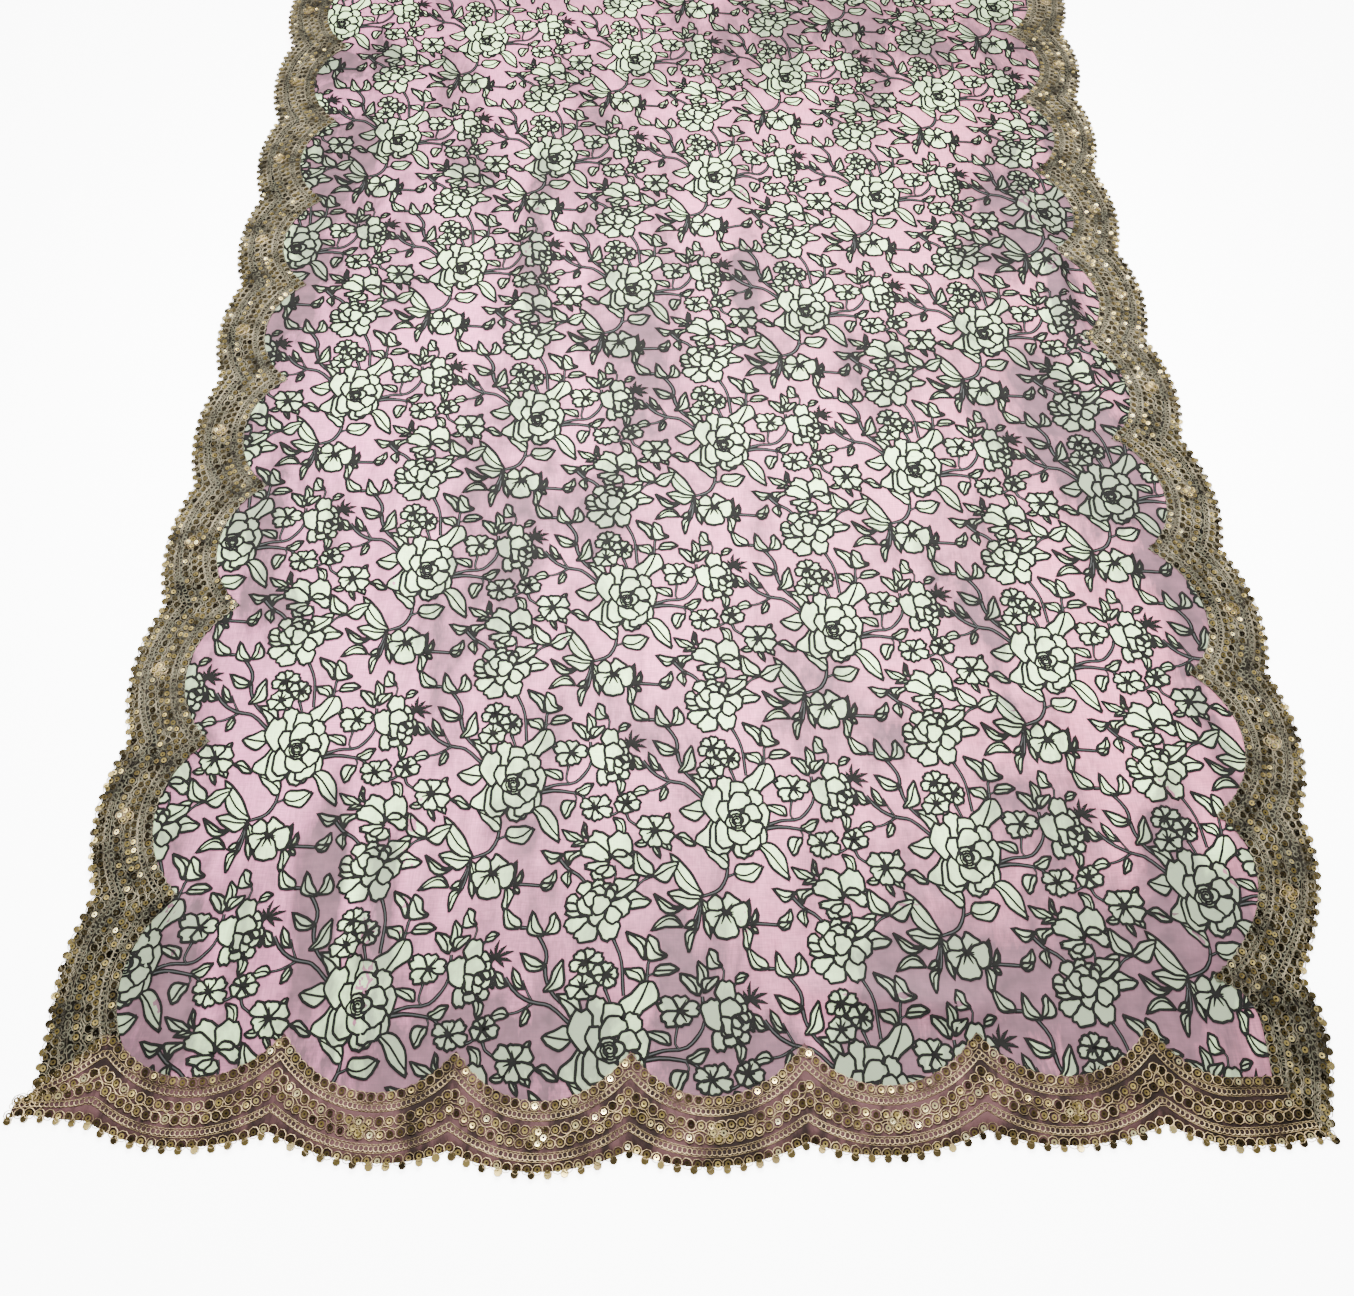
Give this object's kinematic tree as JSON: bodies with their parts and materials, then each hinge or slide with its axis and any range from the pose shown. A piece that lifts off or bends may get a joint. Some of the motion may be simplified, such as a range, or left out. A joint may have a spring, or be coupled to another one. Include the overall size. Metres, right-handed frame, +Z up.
{
  "type": "dupatta stole",
  "caption": "Long printed floral dupatta stole laid out flat, with a scalloped embroidered border of gold thread and sequins on all four sides.",
  "frame": {"origin": "middle of the laid cloth's box, on the surface it lies on", "axes": "+Z up, +Y along the cloth's length away from the end that is seen nearest, +X across its width to the right"},
  "size_m": [0.9777, 2.3562, 0.0168],
  "materials": {
    "printed_cloth": "fine soft cloth with a slight sheen, printed with black-outlined cream flowers on pink",
    "gold_trim": "antique gold thread chains and small sequins on pink net"
  },
  "bodies": {
    "root": {"printed_panel": "printed_cloth", "trim_near": "gold_trim", "trim_far": "gold_trim", "trim_left": "gold_trim", "trim_right": "gold_trim"}
  },
  "joints": []
}
